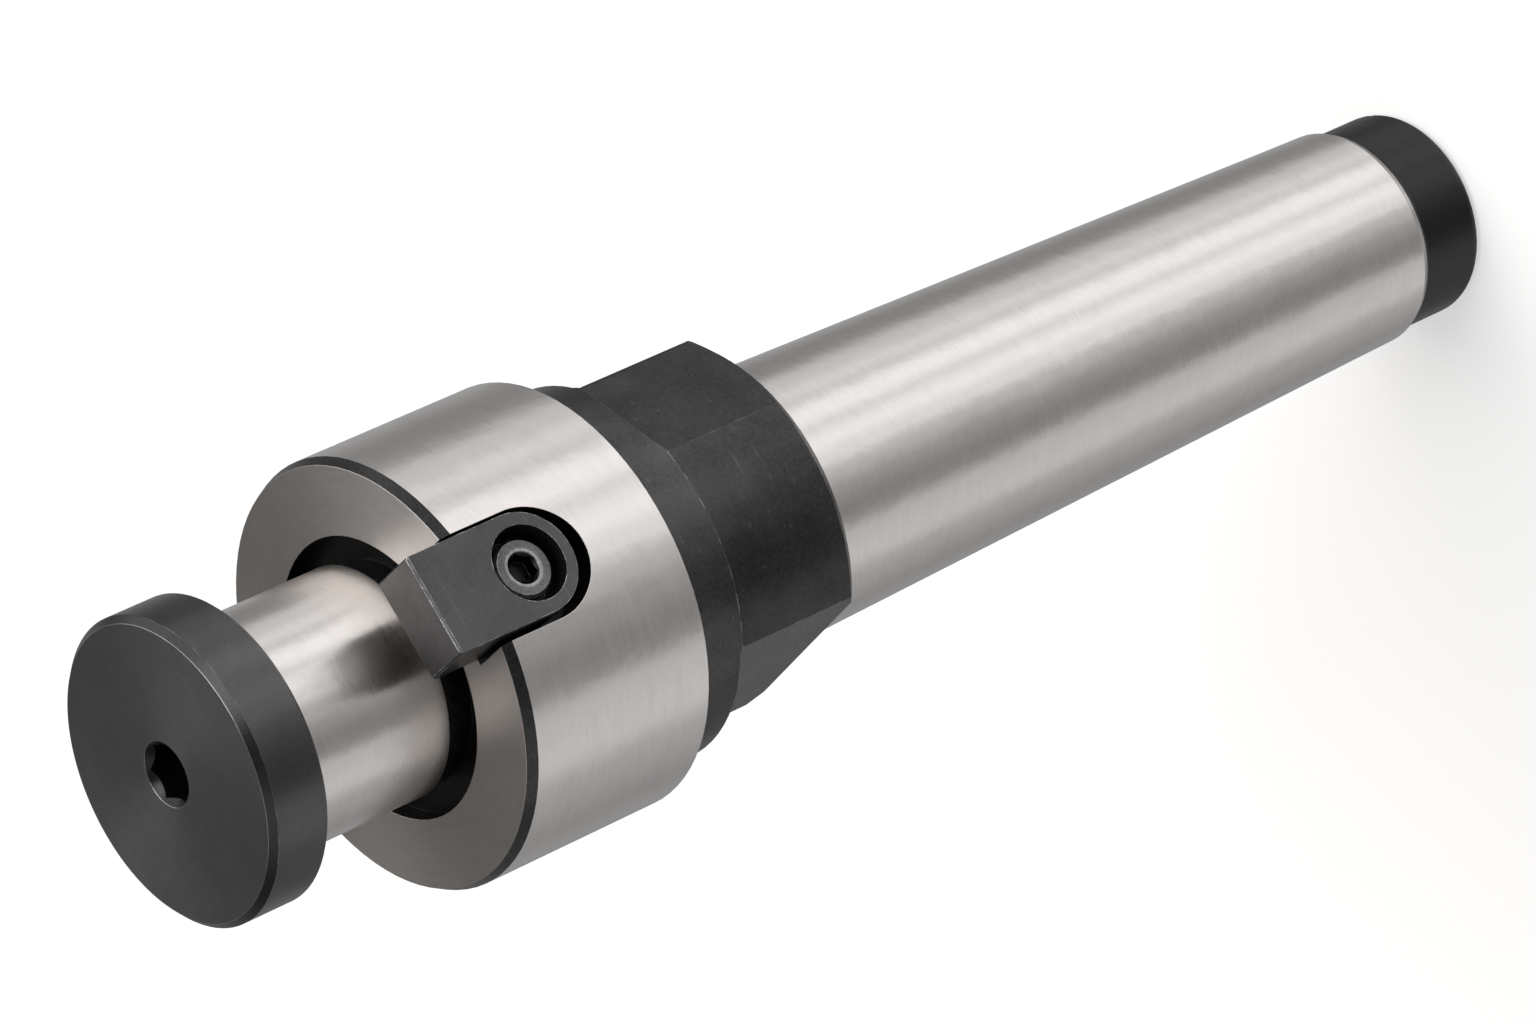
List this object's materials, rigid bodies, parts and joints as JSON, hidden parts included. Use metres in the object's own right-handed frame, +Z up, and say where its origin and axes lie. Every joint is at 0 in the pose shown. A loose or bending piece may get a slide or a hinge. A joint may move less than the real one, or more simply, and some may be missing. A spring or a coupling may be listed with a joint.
{
  "type": "shell mill arbor",
  "caption": "Taper-shank milling arbor with a ground pilot, drive keys in a flange, wrench flats and a disc-headed clamp screw that holds a shell cutter.",
  "frame": {"origin": "centre of the flat drawbar end face, on the axis", "axes": "+Z up the arbor's axis from the drawbar end to the clamp screw's head; the front drive key faces -Y, the back one +Y, and the wrench flats face about +X and -X"},
  "size_m": [0.0498, 0.0512, 0.1885],
  "materials": {
    "arbor_steel": "ground bright on the flange, pilot and taper, black oxide on the collar, tail, recess and key slots",
    "clamp_screw_black": "black oxide, turned, with bright worn edges",
    "drive_key_black": "black oxide, ground on the front end, with bright worn edges",
    "key_screw_black": "black oxide, slightly worn on the head's rim"
  },
  "bodies": {
    "arbor": {"arbor_body": "arbor_steel", "drive_key_front": "drive_key_black", "drive_key_back": "drive_key_black", "key_screw_front": "key_screw_black", "key_screw_back": "key_screw_black"},
    "clamp": {"clamp_screw": "clamp_screw_black"}
  },
  "joints": [
    {"name": "clamp_screw_slide", "type": "slide", "parent": "arbor", "child": "clamp", "axis": [0, 0, 1], "range_m": [0, 0.045]}
  ]
}
